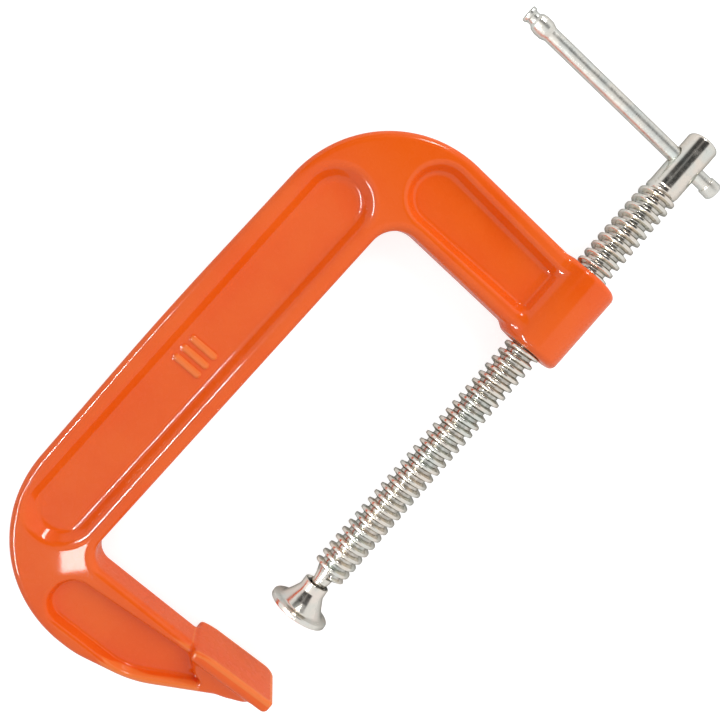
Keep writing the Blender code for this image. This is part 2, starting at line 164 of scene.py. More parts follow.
# Bar, pad and ring
BAR_Y = 256.0 * MM
BAR_LOW_X = -81.4 * MM
BAR_HIGH_X = 16.0 * MM
BAR_SEGMENTS = 64
PAD_TILT = math.radians(5.5)
PAD_SEGMENTS = 96
RING_RADIUS = 3.2 * MM
RING_OFFSET = 2.5 * MM
RING_WIRE_RADIUS = 0.35 * MM
RING_GAP = math.radians(28)
RING_STEPS = 72
RING_SIDES = 16
RING_CAP_STEPS = 3
RING_TIP_SHARE = 0.02

CHORD = 0.8 * MM


# Outlines and distances ---------------------------------------------------------------------

def lean(points):
    """Turns points of the square outline about the anvil to where they lie on the clamp."""
    c, s = math.cos(FRAME_LEAN), math.sin(FRAME_LEAN)
    return points @ np.array([[c, -s], [s, c]])


def rounded_outline(corners, chord=CHORD):
    """Points around a polygon whose corners are (x, y, radius), each one an arc."""
    points = []
    for index, (x, y, radius) in enumerate(corners):
        here = Vector((x, y))
        if radius == 0:
            points.append(here)
            continue
        back = (Vector(corners[index - 1][:2]) - here).normalized()
        ahead = (Vector(corners[(index + 1) % len(corners)][:2]) - here).normalized()
        half = math.acos(max(-1.0, min(1.0, back.dot(ahead)))) / 2
        centre = here + (back + ahead).normalized() * radius / math.sin(half)
        first = here + back * radius / math.tan(half) - centre
        last = here + ahead * radius / math.tan(half) - centre
        turn = first.angle_signed(last)
        steps = max(4, math.ceil(abs(turn) * radius / chord))
        for step in range(steps + 1):
            points.append(centre + Matrix.Rotation(-turn * step / steps, 2) @ first)
    return np.array([tuple(point) for point in points])


def outline_distance(x, y, outline):
    """Distance from points to a closed outline, negative inside it."""
    best = np.full(x.shape, np.inf)
    inside = np.zeros(x.shape, bool)
    for (ax, ay), (bx, by) in zip(outline, np.roll(outline, -1, axis=0)):
        ex, ey = bx - ax, by - ay
        wx, wy = x - ax, y - ay
        along = np.clip((wx * ex + wy * ey) / (ex * ex + ey * ey + 1e-18), 0.0, 1.0)
        best = np.minimum(best, (wx - ex * along) ** 2 + (wy - ey * along) ** 2)
        crosses = (ay <= y) != (by <= y)
        inside ^= crosses & ((wx * ey - wy * ex < 0) == (ey > 0))
    return np.where(inside, -1.0, 1.0) * np.sqrt(best)


class OutlineField:
    """An outline's distance, worked out once on a fine grid and read between its points."""

    def __init__(self, outline, margin=8 * MM, step=0.4 * MM):
        self.low = outline.min(0) - margin
        self.step = step
        counts = np.ceil((outline.max(0) + margin - self.low) / step).astype(int) + 1
        x, y = np.meshgrid(*[self.low[i] + step * np.arange(counts[i]) for i in (0, 1)],
                           indexing="ij")
        self.grid = outline_distance(x, y, outline)

    def __call__(self, x, y):
        x, y = np.broadcast_arrays(x, y)
        u = np.clip((x - self.low[0]) / self.step, 0, self.grid.shape[0] - 1.001)
        v = np.clip((y - self.low[1]) / self.step, 0, self.grid.shape[1] - 1.001)
        i, j = u.astype(int), v.astype(int)
        u, v = u - i, v - j
        near = self.grid[i, j] * (1 - v) + self.grid[i, j + 1] * v
        far = self.grid[i + 1, j] * (1 - v) + self.grid[i + 1, j + 1] * v
        return near * (1 - u) + far * u


def both(a, b, radius):
    """What lies inside both shapes, its new edge rounded."""
    outside = np.hypot(np.maximum(a + radius, 0), np.maximum(b + radius, 0))
    return np.minimum(np.maximum(a, b) + radius, 0) + outside - radius


def either(a, b, radius):
    """What lies inside one shape or the other, with a fillet where they meet."""
    return -both(-a, -b, radius)


# Surfaces from distances ----------------------------------------------------------------------

def surface(distance, low, high, cell):
    """Points and four-sided faces on the zero surface of a distance function."""
    counts = np.ceil((np.array(high) - low) / cell).astype(int) + 1
    x, y, z = [low[i] + cell * np.arange(counts[i]) for i in range(3)]
    value = distance(x[:, None, None], y[None, :, None], z[None, None, :])
    crossings, owners = [], []
    strides = np.array([counts[1] * counts[2], counts[2], 1])
    for axis in range(3):
        near = np.moveaxis(value, axis, 0)[:-1]
        far = np.moveaxis(value, axis, 0)[1:]
        found = np.argwhere((near < 0) != (far < 0))
        a, b = near[tuple(found.T)], far[tuple(found.T)]
        order = [axis] + [k for k in range(3) if k != axis]
        index = np.empty_like(found)
        index[:, order] = found
        point = index.astype(float)
        point[:, axis] += a / (a - b)
        u, v = (axis + 1) % 3, (axis + 2) % 3
        home = index @ strides
        around = np.stack(
            [home, home - strides[u], home - strides[u] - strides[v], home - strides[v]], 1
        )
        around[a > 0] = around[a > 0][:, ::-1]
        crossings.append(low + cell * point)
        owners.append(around)
    crossings, owners = np.concatenate(crossings), np.concatenate(owners)
    _, faces = np.unique(owners, return_inverse=True)
    faces = faces.reshape(-1, 4)
    points = spread(crossings, faces)
    for _ in range(2):
        points = spread(points[faces].mean(1), faces)
        points = onto(points, distance, cell)
    return points, faces


def spread(values, faces):
    """The mean, at each point, of one value for each face around it."""
    count = np.bincount(faces.ravel())
    sums = [np.bincount(faces.ravel(), weights=np.repeat(v, 4)) for v in values.T]
    return np.stack(sums, 1) / count[:, None]


def slope(points, distance, reach=0.04 * MM):
    """How fast a distance grows along X, Y and Z at each point."""
    columns = []
    for axis in range(3):
        shift = np.zeros(3)
        shift[axis] = reach
        ahead, behind = distance(*(points + shift).T), distance(*(points - shift).T)
        columns.append((ahead - behind) / (2 * reach))
    return np.stack(columns, 1)


def onto(points, distance, cell):
    """Moves points along the distance's slope until they lie on its surface."""
    for _ in range(3):
        gap = distance(*points.T)
        way = slope(points, distance)
        steep = np.maximum((way**2).sum(1), 0.1)
        step = np.clip(gap / steep, -cell / 2, cell / 2)
        points = points - way * step[:, None]
    return points


def add_object(name, data):
    made = bpy.data.objects.new(name, data)
    bpy.context.collection.objects.link(made)
    return made


def mesh_object(name, points, faces):
    mesh = bpy.data.meshes.new(name)
    mesh.from_pydata(points, [], faces)
    mesh.update()
    mesh.shade_smooth()
    return add_object(name, mesh)


# Casting ----------------------------------------------------------------------------------------

def frame_outline():
    corners = [
        (0.0, 200.8, 0),
        (-112.1, 200.8, 47.5),
        (-114.1, 85.0, 1500),
        (-112.1, -34.2, 52),
        (-55.0, -34.4, 40),
        (-31.0, -29.4, 50),
        (7.6, -6.9, 0),
        (7.6, -2.5, 0),
        (-75.7, -2.5, 8),
        (-75.7, 166.5, 11),
        (0.0, 166.5, 0),
    ]
    return lean(rounded_outline([(x * MM, y * MM, r * MM) for x, y, r in corners]))


def pocket_outlines():
    """Each pocket's mouth and how far its walls lean in: spine, upper arm and lower arm."""
    spine = [(-107.8, 169.8, 13.2), (-81.2, 169.8, 13.2), (-81.2, -7.3, 13.2),
             (-107.8, -7.3, 13.2)]
    upper = [(-80.6, 195.4, 12), (-80.6, 170.8, 12), (0.0, 173.2, 4), (0.0, 193.9, 4)]
    lower = [(-77.5, -10.1, 9.2), (-77.5, -28.6, 9.2), (-36.5, -28.6, 25), (-9.0, -13.2, 2.2),
             (-22.0, -5.9, 6)]
    return [
        (lean(rounded_outline([(x * MM, y * MM, r * MM) for x, y, r in corners])), run)
        for corners, run in (
            (spine, SPINE_WALL_RUN), (upper, UPPER_WALL_RUN), (lower, LOWER_WALL_RUN)
        )
    ]


def thread_profile(clearance=0.0, rounding=0.3 * MM):
    """(distance along the axis, radius) around one thread, from root to root."""
    flank, crest = FLANK_SHARE * PITCH, CREST_SHARE * PITCH
    root = PITCH - 2 * flank - crest
    corners = [
        (0.0, ROOT_RADIUS, 0),
        (root / 2, ROOT_RADIUS, rounding),
        (root / 2 + flank, CREST_RADIUS, 1.3 * rounding),
        (root / 2 + flank + crest, CREST_RADIUS, 1.3 * rounding),
        (root / 2 + 2 * flank + crest, ROOT_RADIUS, rounding),
        (PITCH, ROOT_RADIUS, 0),
    ]
    outline = rounded_outline(corners, chord=0.15 * MM)
    return outline + np.array([-root / 2, clearance])


THREAD = thread_profile()


def thread_radius(y, x, z):
    """The thread's radius at a point's height and turn about the axis."""
    turn = np.arctan2(x, z) / (2 * math.pi)
    along = (y - THREAD_START_Y) / PITCH - turn
    phase = (along - np.floor(along)) * PITCH
    start = THREAD[0, 0]
    phase = np.where(phase > PITCH + start, phase - PITCH, phase)
    return np.interp(phase, THREAD[:, 0], THREAD[:, 1])


OUTLINE = OutlineField(frame_outline())
POCKETS = [(OutlineField(outline), run) for outline, run in pocket_outlines()]


def foundry_marks(x, y, z):
    """Three plain raised bars on the front of the spine's web."""
    c, s = math.cos(FRAME_LEAN), math.sin(FRAME_LEAN)
    square_x, square_y = x * c - y * s, x * s + y * c
    along = np.maximum(np.abs(square_x - MARK_PLACE[0]) - MARK_HALF_LENGTH, 0)
    nearest = np.clip(np.round((square_y - MARK_PLACE[1]) / MARK_PITCH), -1, 1)
    across = square_y - MARK_PLACE[1] - nearest * MARK_PITCH
    bar = np.hypot(along, across) - MARK_RADIUS
    return both(bar, np.abs(z - WEB_HALF_DEPTH) - MARK_HEIGHT, MARK_ROUND)


def boss(x, y, z):
    past = np.abs(y - BOSS_MIDDLE_Y) - BOSS_HALF_LENGTH
    return both(np.hypot(x, z) - BOSS_RADIUS, past, BOSS_RIM_ROUND)


def anvil(x, y, z):
    """The plate, with wider corners at the tip, and the sloping cheeks under it."""
    middle, half = (ANVIL_LOW_X + ANVIL_HIGH_X) / 2, (ANVIL_HIGH_X - ANVIL_LOW_X) / 2
    tip = np.where(z > 0, ANVIL_FRONT_TIP_RADIUS, ANVIL_TIP_RADIUS)
    corner = np.where(x > middle, tip, ANVIL_ARM_RADIUS)
    across = np.abs(x - middle) - half + corner
    deep = np.abs(z) - ANVIL_HALF_DEPTH + corner
    flat = np.minimum(np.maximum(across, deep), 0) - corner
    flat = flat + np.hypot(np.maximum(across, 0), np.maximum(deep, 0))
    rim = np.where(y > -ANVIL_THICKNESS / 2, ANVIL_RIM_ROUND, ANVIL_UNDER_ROUND)
    plate = both(flat, np.abs(y + ANVIL_THICKNESS / 2) - ANVIL_THICKNESS / 2, rim)
    ramp = (y - (x - ANVIL_RAMP_X) * ANVIL_RAMP_SLOPE) / math.hypot(1, ANVIL_RAMP_SLOPE)
    plate = both(plate, ramp, ANVIL_RIM_ROUND)
    rise = (y - CHEEK_FOOT_Y) / CHEEK_RISE
    half_depth = CHEEK_HALF_DEPTH + CHEEK_DEPTH_GROWTH * rise
    low_x = CHEEK_LOW_X - CHEEK_LOW_GROWTH * rise
    high_x = CHEEK_HIGH_X + CHEEK_HIGH_GROWTH * rise
    faces = (np.abs(z) - half_depth) * CHEEK_SLANT
    ends = np.maximum(low_x - x, x - high_x) * CHEEK_SLANT
    sides = both(faces, ends, CHEEK_EDGE_ROUND)
    cheeks = np.maximum(sides, np.abs(y - CHEEK_MIDDLE_Y) - CHEEK_HALF_HEIGHT)
    return plate, cheeks


def tapped_hole(x, y, z):
    reach = np.hypot(x, z)
    thread = (reach - thread_radius(y, x, z) - THREAD_CLEARANCE) * THREAD_SLANT
    past = np.abs(y - BOSS_MIDDLE_Y) - BOSS_HALF_LENGTH
    countersink = (reach - CREST_RADIUS - COUNTERSINK_DEPTH - past) * COUNTERSINK_SLANT
    return np.maximum(np.minimum(thread, countersink), past - HOLE_OVERRUN)


def casting(x, y, z):
    depth = np.abs(z)
    solid = both(OUTLINE(x, y), depth - FLANGE_HALF_DEPTH, FLANGE_EDGE_ROUND)
    for pocket, run in POCKETS:
        slant = run / (FLANGE_HALF_DEPTH - WEB_HALF_DEPTH)
        wall = (pocket(x, y) + (FLANGE_HALF_DEPTH - depth) * slant) / math.hypot(1, slant)
        hollow = both(wall, WEB_HALF_DEPTH - depth, POCKET_FLOOR_ROUND)
        solid = both(solid, -hollow, POCKET_RIM_ROUND)
    solid = either(solid, foundry_marks(x, y, z), MARK_BLEND)
    solid = either(solid, boss(x, y, z), BOSS_BLEND)
    plate, cheeks = anvil(x, y, z)
    nose = (x - NOSE_END_X) * math.sin(NOSE_LINE) - (y - NOSE_END_Y) * math.cos(NOSE_LINE)
    solid = both(either(solid, cheeks, ANVIL_BLEND), nose, NOSE_ROUND)
    solid = either(solid, plate, PLATE_BLEND)
    return both(solid, -tapped_hole(x, y, z), HOLE_MOUTH_ROUND)


def build_casting():
    """The casting, with how hollow and how proud its surface is at each point."""
    low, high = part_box("frame")
    low, high = np.array(low) - CAST_MARGIN, np.array(high) + CAST_MARGIN
    points, faces = surface(casting, low, high, CAST_CELL)
    made = mesh_object("frame_casting", points, faces)
    way = slope(points, casting)
    hollow = 1 - casting(*(points + way * RELIEF_REACH).T) / RELIEF_REACH
    proud = 1 + casting(*(points - way * RELIEF_REACH).T) / RELIEF_REACH
    for name, amount in (("hollow", hollow), ("proud", proud)):
        attribute = made.data.attributes.new(name, "FLOAT", "POINT")
        attribute.data.foreach_set("value", np.clip(amount, 0, 1).astype(np.float32))
    return made


# Turned and threaded pieces ----------------------------------------------------------------------

def ring_at(bm, radius, y, segments):
    angles = [2 * math.pi * i / segments for i in range(segments)]
    return [bm.verts.new((radius * math.sin(a), y, radius * math.cos(a))) for a in angles]


def skin(bm, low, high):
    count = len(low)
    for i in range(count):
        j = (i + 1) % count
        bm.faces.new((low[i], low[j], high[j], high[i]))


def close_end(bm, ring, y):
    tip = bm.verts.new((0.0, y, 0.0))
    for i in range(len(ring)):
        bm.faces.new((ring[i], ring[(i + 1) % len(ring)], tip))


def turned(name, corners, segments, chord=0.35 * MM):
    """A piece turned about Y.  Its section is (radius, y, corner radius), from end to end, and
    both ends close on the axis."""
    section = rounded_outline([(corners[0][0], corners[0][1], 0)] + corners[1:-1]
                              + [(corners[-1][0], corners[-1][1], 0)], chord)
    bm = bmesh.new()
    rings = [ring_at(bm, radius, y, segments) for radius, y in section[1:-1]]
    for low, high in zip(rings, rings[1:]):
        skin(bm, low, high)
    close_end(bm, rings[0], section[0][1])
    close_end(bm, rings[-1], section[-1][1])
    return finished(name, bm)


def finished(name, bm):
    bmesh.ops.recalc_face_normals(bm, faces=bm.faces)
    mesh = bpy.data.meshes.new(name)
    bm.to_mesh(mesh)
    bm.free()
    mesh.shade_smooth()
    return add_object(name, mesh)


def threaded_rod(bm, low_radius, high_radius):
    """The skin of the right-hand thread.  It fades into a plain ring at each end."""
    segments = TURN_SEGMENTS
    last = THREAD_TURNS * segments
    along, reach = THREAD[:-1, 0], THREAD[:-1, 1]

    def corner(step, index):
        turn = min(step / segments, THREAD_TURNS)
        low_fade = min(1.0, max(0.0, (turn + along[index] / PITCH) / RUN_OUT_TURNS))
        high_fade = min(1.0, (THREAD_TURNS - turn) / RUN_OUT_TURNS)
        low_fade, high_fade = [t * t * (3 - 2 * t) for t in (low_fade, high_fade)]
        radius = low_radius + (reach[index] - low_radius) * low_fade
        radius = high_radius + (radius - high_radius) * high_fade
        if step == 0:
            radius = low_radius
        if step >= last:
            radius = high_radius
        angle = 2 * math.pi * step / segments
        y = THREAD_START_Y + PITCH * step / segments + along[index]
        return bm.verts.new((radius * math.sin(angle), y, radius * math.cos(angle)))

    base = [corner(step, 0) for step in range(last + segments + 1)]
    others = [[corner(step, k) for k in range(1, len(along))] for step in range(last + 1)]

    def column(step):
        return [base[step], *others[step], base[step + segments]]

    for step in range(last):
        near, far = column(step), column(step + 1)
        for k in range(len(near) - 1):
            bm.faces.new((near[k], far[k], far[k + 1], near[k + 1]))

    gap = THREAD_END_GAP - THREAD[0, 0]
    low_ring = ring_at(bm, low_radius, THREAD_START_Y - gap, segments)
    for i in range(segments - 1):
        bm.faces.new((low_ring[i], low_ring[i + 1], base[i + 1], base[i]))
    bm.faces.new((low_ring[-1], low_ring[0], *column(0), base[segments - 1]))
    top_y = THREAD_START_Y + PITCH * (THREAD_TURNS + 1) + THREAD_END_GAP
    high_ring = ring_at(bm, high_radius, top_y, segments)
    top = base[last:]
    for i in range(1, segments):
        bm.faces.new((top[i], top[i + 1], high_ring[(i + 1) % segments], high_ring[i]))
    end = column(last)
    bm.faces.new((top[0], top[1], high_ring[1], high_ring[0], *reversed(end[1:])))
    return low_ring, high_ring, top_y


def screw_head(x, y, z):
    """The knuckle, its domed top and the cross hole for the bar."""
    reach = np.hypot(x, z)
    top = np.hypot(reach, y - HEAD_HIGH_Y + HEAD_DOME_RADIUS) - HEAD_DOME_RADIUS
    solid = both(reach - HEAD_RADIUS, top, HEAD_TOP_ROUND)
    solid = both(solid, HEAD_LOW_Y - y, HEAD_FOOT_ROUND)
    hole = np.hypot(y - BAR_Y, z) - BAR_HOLE_RADIUS
    return both(solid, -hole, HOLE_RIM_ROUND)


def build_screw():
    """The spindle: the rod with its thread, neck and ball, joined to the knuckle."""
    bm = bmesh.new()
    low, high, top_y = threaded_rod(bm, RUN_OUT_RADIUS, HEAD_RADIUS - ROD_INSET)
    lower = [
        (0.0, -BALL_RADIUS, 0),
        (0.6 * BALL_RADIUS, -BALL_RADIUS, 1.8 * MM),
        (1.02 * BALL_RADIUS, -0.2 * BALL_RADIUS, 2.4 * MM),
        (0.98 * BALL_RADIUS, 0.35 * BALL_RADIUS, 1.6 * MM),
        (2.5 * MM, 2.4 * MM, 0.4 * MM),
        (2.5 * MM, 4.7 * MM, 0.3 * MM),
        (3.1 * MM, 5.2 * MM, 0.6 * MM),
        (3.1 * MM, 6.4 * MM, 2.0 * MM),
        (RUN_OUT_RADIUS, THREAD[0, 0] + THREAD_START_Y - BALL_Y - ROD_END_RISE, 0),
    ]
    section = rounded_outline(lower, 0.3 * MM)[1:]
    rings = [ring_at(bm, radius, BALL_Y + y, TURN_SEGMENTS) for radius, y in section]
    for near, far in zip(rings, rings[1:] + [low]):
        skin(bm, near, far)
    close_end(bm, rings[0], BALL_Y - BALL_RADIUS)
    close_end(bm, high, top_y + ROD_END_RISE)
    rod = finished("screw_rod", bm)

    points, faces = surface(screw_head, HEAD_GRID_LOW, HEAD_GRID_HIGH, HEAD_CELL)
    head = mesh_object("screw_head", points, faces)
    join = head.modifiers.new("rod", "BOOLEAN")
    join.object = rod
    join.operation = "UNION"
    join.solver = "EXACT"
    joined = head.evaluated_get(bpy.context.evaluated_depsgraph_get())
    made = add_object("screw_spindle", bpy.data.meshes.new_from_object(joined))
    for old in (head, rod):
        bpy.data.objects.remove(old, do_unlink=True)
    return made


def build_bar():
    """The sliding bar: a waisted head on its long side and a plain one on its short side."""
    long_head = [
        (0.0, 0.0, 0),
        (3.1, 0.0, 0.4),
        (3.1, 1.3, 0.4),
        (2.5, 1.9, 0.5),
        (2.5, 3.5, 0.5),
        (3.4, 4.6, 0.8),
        (3.75, 6.6, 2.0),
        (3.65, 9.2, 1.2),
        (3.1, 10.8, 0.6),
        (2.95, 11.2, 0.2),
    ]
    short_head = [
        (2.95, 5.1, 0.2),
        (3.45, 4.7, 0.4),
        (3.55, 0.0, 1.2),
        (0.0, 0.0, 0),
    ]
    corners = [(r * MM, BAR_LOW_X + d * MM, e * MM) for r, d, e in long_head]
    corners += [(r * MM, BAR_HIGH_X - d * MM, e * MM) for r, d, e in short_head]
    made = turned("sliding_bar", corners, BAR_SEGMENTS)
    turn = Matrix.Rotation(-math.pi / 2, 4, "Z")
    made.data.transform(Matrix.Translation((0, BAR_Y, 0)) @ turn)
    return made


def build_pad():
    """The bell-shaped pad, from the middle of its face round the outside to the socket."""
    corners = [
        (0.0, -7.9, 0),
        (12.3, -7.9, 0.5),
        (12.3, -5.8, 0.6),
        (9.3, -5.3, 1.6),
        (7.3, -2.2, 8.0),
        (5.3, 1.7, 3.0),
        (5.25, 5.5, 0.35),
        (4.6, 5.5, 0.2),
        (4.1, 4.7, 0.4),
        (3.35, 4.2, 0.2),
        (3.35, 3.3, 0.15),
        (4.2, 2.4, 0.3),
        (3.7, 1.5, 0.3),
        (3.7, -2.0, 1.8),
        (1.6, -3.7, 1.2),
        (0.0, -3.7, 0),
    ]
    made = turned("pad_bell", [(r * MM, y * MM, e * MM) for r, y, e in corners], PAD_SEGMENTS)
    turn = Matrix.Rotation(PAD_TILT, 4, "Z")
    made.data.transform(Matrix.Translation((0, BALL_Y, 0)) @ turn)
    return made


def build_ring():
    """An open ring of round wire with domed ends, its gap on the far side from the spine."""
    bm = bmesh.new()
    rings = []
    for step in range(-RING_CAP_STEPS, RING_STEPS + RING_CAP_STEPS + 1):
        inner = min(max(step, 0), RING_STEPS)
        past = (step - inner) / RING_CAP_STEPS
        wire = RING_WIRE_RADIUS * math.sqrt(max(RING_TIP_SHARE, 1 - past**2))
        sweep = (2 * math.pi - RING_GAP) * inner / RING_STEPS
        overshoot = past * RING_WIRE_RADIUS / RING_RADIUS
        turn = math.pi / 2 + RING_GAP / 2 + sweep + overshoot
        ring = []
        for k in range(RING_SIDES):
            a = 2 * math.pi * k / RING_SIDES
            reach = RING_RADIUS + wire * math.cos(a)
            height = BALL_Y + RING_OFFSET + wire * math.sin(a)
            ring.append(bm.verts.new((reach * math.sin(turn), height, reach * math.cos(turn))))
        rings.append(ring)
    for near, far in zip(rings, rings[1:]):
        skin(bm, near, far)
    bm.faces.new(rings[0])
    bm.faces.new(rings[-1])
    return finished("wire_ring", bm)


# Materials ----------------------------------------------------------------------------------------

ENAMEL = (0.83, 0.100, 0.004)
ENAMEL_CLOUD = (0.85, 0.118, 0.007)
ENAMEL_FLECK = (0.90, 0.15, 0.025)
# Painted shade: the darker red laid into the casting's hollows
ENAMEL_PAINTED_SHADE = (0.80, 0.062, 0.003)
# Thin enamel and a painted highlight: the paler orange laid on the casting's proud edges
ENAMEL_THIN_HIGHLIGHT = (0.90, 0.22, 0.045)
PLATE = (0.84, 0.81, 0.74)
PLATE_COOL = (0.73, 0.80, 0.77)
PLATE_DULL = (0.56, 0.55, 0.51)
SCREW_TINT = (0.90, 0.82, 0.73)
BAR_TINT = (0.74, 0.75, 0.71)
PAD_TINT = (0.92, 0.84, 0.76)
PLATE_EDGE_TINT = (0.35, 0.36, 0.34, 1.0)
# Painted shade: the dark laid into the thread's roots, the bar's hole and the pad's socket
PAINTED_SHADE_DARK = (0.10, 0.095, 0.09)
WIRE = (0.16, 0.16, 0.17)
WIRE_LIGHT = (0.28, 0.27, 0.26)
FLOOR = (0.46, 0.46, 0.46)
FLOOR_LIGHT = (0.48, 0.48, 0.48)

# The tool marks run round the axis that the piece was turned about.  The bar is brushed too.
AROUND_Y = (0.6, 6.0, 0.6)
AROUND_X = (6.0, 0.6, 0.6)
BAR_BRUSHING = 0.12

# Where painted shade darkens the plate: (inside this radius, fading over, above this height, share)
THREAD_ROOT_SHADE = (ROOT_RADIUS, 0.4 * MM, THREAD_START_Y, 0.42)
PAD_SOCKET_SHADE = (4.2 * MM, 0.5 * MM, BALL_Y - 4.5 * MM, 1.4)
SHADE_RISE = 2.0 * MM

# How brightly the floor glows in reflections, and to the camera
FLOOR_GLOW = (0.25, 0.75)


class Nodes:
    """Short calls for building a material's node tree."""

    def __init__(self, name):
        self.material = bpy.data.materials.new(name)
        self.material.use_nodes = True
        self.tree = self.material.node_tree
        self.shader = self.tree.nodes["Principled BSDF"]

    def add(self, kind, **settings):
        node = self.tree.nodes.new(kind)
        for key, value in settings.items():
            setattr(node, key, value)
        return node

    def link(self, output, target):
        self.tree.links.new(output, target)

    def place(self, stretch=(1.0, 1.0, 1.0)):
        coordinates = self.add("ShaderNodeTexCoord")
        mapping = self.add("ShaderNodeMapping")
        mapping.inputs["Scale"].default_value = stretch
        self.link(coordinates.outputs["Object"], mapping.inputs["Vector"])
        return mapping.outputs["Vector"]

    def noise(self, scale, detail=2.0, roughness=0.5, place=None):
        """Noise whose features are about 1 / scale metres across."""
        node = self.add("ShaderNodeTexNoise")
        node.inputs["Scale"].default_value = scale
        node.inputs["Detail"].default_value = detail
        node.inputs["Roughness"].default_value = roughness
        self.link(place or self.place(), node.inputs["Vector"])
        return node.outputs["Fac"]

    def spread(self, value, low, high, new_low, new_high):
        node = self.add("ShaderNodeMapRange", interpolation_type="SMOOTHSTEP")
        for key, number in zip(("From Min", "From Max", "To Min", "To Max"),
                               (low, high, new_low, new_high)):
            node.inputs[key].default_value = number
        self.link(value, node.inputs["Value"])
        return node.outputs["Result"]

    def math(self, operation, a, b):
        node = self.add("ShaderNodeMath", operation=operation)
        for socket, value in zip(node.inputs, (a, b)):
            if isinstance(value, float):
                socket.default_value = value
            else:
                self.link(value, socket)
        return node.outputs[0]

    def blend(self, share, a, b):
        """Colour a where share is 0 and colour b where it is 1."""
        node = self.add("ShaderNodeMix", data_type="RGBA")
        self.link(share, node.inputs["Factor"])
        for socket, value in zip((node.inputs[6], node.inputs[7]), (a, b)):
            if isinstance(value, tuple):
                socket.default_value = (*value, 1.0)
            else:
                self.link(value, socket)
        return node.outputs[2]

    def attribute(self, name):
        node = self.add("ShaderNodeAttribute", attribute_name=name)
        return node.outputs["Fac"]

    def bump(self, height, distance, strength, below=None):
        node = self.add("ShaderNodeBump")
        node.inputs["Strength"].default_value = strength
        node.inputs["Distance"].default_value = distance
        self.link(height, node.inputs["Height"])
        if below:
            self.link(below, node.inputs["Normal"])
        return node.outputs["Normal"]

    def finish(self, colour, roughness, normal, **numbers):
        self.link(colour, self.shader.inputs["Base Color"])
        self.link(roughness, self.shader.inputs["Roughness"])
        self.link(normal, self.shader.inputs["Normal"])
        for key, number in numbers.items():
            self.shader.inputs[key.replace("_", " ")].default_value = number
        return self.material


def enamel_material():
    """Thick gloss enamel over a sand casting. Painted shade darkens its hollows, and a painted
    highlight lightens its edges, where the enamel is thin.
    """
    n = Nodes("gloss_enamel")
    clouds = n.spread(n.noise(35.0, 3.0), 0.35, 0.65, 0.0, 1.0)
    colour = n.blend(clouds, ENAMEL, ENAMEL_CLOUD)
    flecks = n.spread(n.noise(1400.0, 1.0), 0.62, 0.75, 0.0, 0.25)
    colour = n.blend(flecks, colour, ENAMEL_FLECK)
    # Painted shade: the hollows of the casting are darkened
    hollow_shade = n.spread(n.attribute("hollow"), 0.05, 0.6, 0.0, 0.75)
    colour = n.blend(hollow_shade, colour, ENAMEL_PAINTED_SHADE)
    # Painted highlight: the proud edges are lightened, where the enamel is thin
    thin_highlight = n.spread(n.attribute("proud"), 0.06, 0.30, 0.0, 0.8)
    colour = n.blend(thin_highlight, colour, ENAMEL_THIN_HIGHLIGHT)
    roughness = n.spread(n.noise(220.0, 3.0), 0.3, 0.7, 0.22, 0.32)
    cast = n.bump(n.noise(110.0, 2.0), 0.5 * MM, 0.10)
    sand = n.math("MULTIPLY", n.noise(650.0, 2.0), n.attribute("hollow"))
    rough_cast = n.bump(sand, 0.5 * MM, 0.3, cast)
    peel = n.bump(n.noise(900.0, 1.0), 0.1 * MM, 0.12, rough_cast)
    n.shader.inputs["Specular IOR Level"].default_value = 0.08
    return n.finish(colour, roughness, peel, Coat_Weight=0.27, Coat_Roughness=0.04, Coat_IOR=2.0)


def plate_material(name, stretch, tint, painted_shade=None, brushed=0.0):
    """Bright zinc plate with fine tool marks, faint warm and blue tints and a few scuffs, and,
    where painted shade is given, darker near the axis.  A brushed piece is that much rougher."""
    n = Nodes(name)
    tone = n.spread(n.noise(160.0, 3.0), 0.38, 0.62, 0.0, 1.0)
    colour = n.blend(tone, PLATE, tint)
    cool = n.spread(n.noise(90.0, 2.0), 0.5, 0.7, 0.0, 0.6)
    colour = n.blend(cool, colour, PLATE_COOL)
    dull = n.spread(n.noise(420.0, 4.0, 0.6), 0.55, 0.75, 0.0, 0.35)
    colour = n.blend(dull, colour, PLATE_DULL)
    # Painted shade: darkens the plate, in patches, inside the given radius from the axis and above
    # the given height
    if painted_shade:
        radius, fade, low_y, amount = painted_shade
        reach = n.add("ShaderNodeVectorMath", operation="LENGTH")
        n.link(n.place((1.0, 0.0, 1.0)), reach.inputs[0])
        deep = n.spread(reach.outputs["Value"], radius, radius + fade, amount, 0.0)
        height = n.add("ShaderNodeSeparateXYZ")
        n.link(n.place(), height.inputs[0])
        above = n.spread(height.outputs["Y"], low_y, low_y + SHADE_RISE, 0.0, 1.0)
        patchy = n.spread(n.noise(380.0, 2.0), 0.35, 0.6, 0.35, 1.0)
        share = n.math("MULTIPLY", n.math("MULTIPLY", deep, above), patchy)
        colour = n.blend(share, colour, PAINTED_SHADE_DARK)
    lines = n.noise(900.0, 3.0, 0.7, n.place(stretch))
    roughness = n.math("ADD", n.spread(lines, 0.3, 0.7, 0.12 + brushed, 0.22 + brushed),
                       n.spread(n.noise(300.0, 3.0), 0.4, 0.8, 0.0, 0.10))
    grain = n.bump(lines, 0.03 * MM, 0.15)
    dents = n.bump(n.noise(260.0, 2.0), 0.1 * MM, 0.08, grain)
    n.shader.inputs["Specular Tint"].default_value = PLATE_EDGE_TINT
    return n.finish(colour, roughness, dents, Metallic=1.0)


def wire_material():
    n = Nodes("oiled_wire")
    colour = n.blend(n.spread(n.noise(1200.0, 2.0), 0.4, 0.6, 0.0, 1.0), WIRE, WIRE_LIGHT)
    roughness = n.spread(n.noise(900.0, 2.0), 0.3, 0.7, 0.3, 0.5)
    return n.finish(colour, roughness, n.bump(n.noise(3000.0, 1.0), 0.02 * MM, 0.3), Metallic=1.0)


